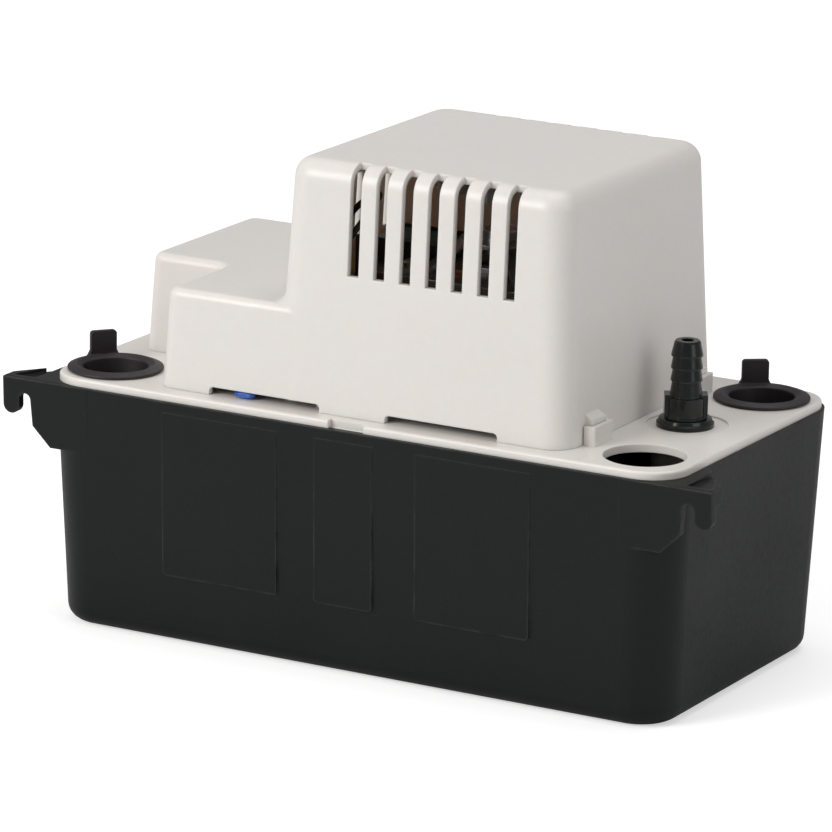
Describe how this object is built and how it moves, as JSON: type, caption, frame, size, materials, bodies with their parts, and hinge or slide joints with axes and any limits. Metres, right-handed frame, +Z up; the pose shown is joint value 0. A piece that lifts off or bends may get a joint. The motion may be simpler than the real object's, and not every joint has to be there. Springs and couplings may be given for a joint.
{
  "type": "condensate pump",
  "caption": "Tank-type condensate pump: rectangular reservoir, lid with inlets and plugs, vented motor cover, barbed outlet with check valve, float switch and vertical centrifugal pump.",
  "frame": {"origin": "centre of the tank's base, on the surface that it stands on", "axes": "+X towards the discharge fitting, +Y towards the back, +Z up"},
  "size_m": [0.2794, 0.13, 0.178],
  "materials": {
    "tank_plastic": "satin moulded",
    "cover_plastic": "satin moulded",
    "lid_plastic": "satin moulded",
    "fitting_plastic": "semi gloss",
    "plug_rubber": "satin",
    "seal_rubber": "matte",
    "valve_plastic": "plain",
    "pump_plastic": "plain",
    "steel": "zinc plated",
    "motor_iron": "laminated",
    "rotor_aluminium": "as cast",
    "copper": "bright",
    "bearing_bronze": "sintered",
    "bobbin_plastic": "plain",
    "coil_tape": "taped",
    "fan_plastic": "plain",
    "float_plastic": "plain",
    "arm_plastic": "plain",
    "switch_plastic": "plain",
    "terminal_brass": "bright",
    "connector_plastic": "plain",
    "lead_insulation": "plain"
  },
  "bodies": {
    "base": {"tank": "tank_plastic", "tank_lid": "lid_plastic", "motor_cover": "cover_plastic", "discharge_fitting": "fitting_plastic", "fitting_seal_ring": "seal_rubber", "valve_seat": "valve_plastic", "discharge_pipe": "pump_plastic", "shaft_column": "pump_plastic", "pump_casing": "pump_plastic", "casing_plate": "pump_plastic", "casing_screws": "steel", "stator_laminations": "motor_iron", "shading_rings": "copper", "coil_bobbin": "bobbin_plastic", "coil_winding": "coil_tape", "lower_motor_bracket": "steel", "upper_motor_bracket": "steel", "lower_bearing": "bearing_bronze", "upper_bearing": "bearing_bronze", "motor_bolts": "steel", "float_pivot_pin": "steel", "switch_terminals": "terminal_brass", "switch_bracket": "steel", "switch_screws": "steel", "safety_switch": "switch_plastic", "pump_switch": "switch_plastic", "crimp_connector": "connector_plastic", "motor_leads": "lead_insulation"},
    "drive": {"motor_shaft": "steel", "rotor_core": "motor_iron", "rotor_end_rings": "rotor_aluminium", "impeller": "pump_plastic", "water_slinger": "seal_rubber", "cooling_fan": "fan_plastic"},
    "float_assembly": {"float_arm": "arm_plastic", "float": "float_plastic"},
    "pump_lever": {"pump_switch_lever": "steel"},
    "safety_lever": {"safety_switch_lever": "steel"},
    "check_poppet": {"valve_poppet": "valve_plastic"},
    "front_plug": {"inlet_plug_front": "plug_rubber"},
    "back_plug": {"inlet_plug_back": "plug_rubber"}
  },
  "joints": [
    {"name": "motor_spin", "type": "hinge", "parent": "base", "child": "drive", "pos_m": [0.023, 0, 0.126], "axis": [0, 0, 1], "continuous": true},
    {"name": "float_hinge", "type": "hinge", "parent": "base", "child": "float_assembly", "pos_m": [-0.062, 0.024, 0.08], "axis": [-1, 0, 0], "range_deg": [0, 16]},
    {"name": "pump_lever_hinge", "type": "hinge", "parent": "base", "child": "pump_lever", "pos_m": [-0.0565, 0.0328, 0.1177], "axis": [1, 0, 0], "range_deg": [0, 15.1]},
    {"name": "safety_lever_hinge", "type": "hinge", "parent": "base", "child": "safety_lever", "pos_m": [-0.0675, 0.0328, 0.1177], "axis": [1, 0, 0], "range_deg": [0, 15.1]},
    {"name": "check_valve_slide", "type": "slide", "parent": "base", "child": "check_poppet", "axis": [0, 0, 1], "range_m": [0, 0.003]},
    {"name": "front_plug_slide", "type": "slide", "parent": "base", "child": "front_plug", "axis": [0, 0, 1], "range_m": [0, 0.03]},
    {"name": "back_plug_slide", "type": "slide", "parent": "base", "child": "back_plug", "axis": [0, 0, 1], "range_m": [0, 0.03]}
  ],
  "couplings": [
    {"joint": "pump_lever_hinge", "follows": "float_hinge", "ratio": 0.94},
    {"joint": "safety_lever_hinge", "follows": "float_hinge", "ratio": 0.94}
  ]
}
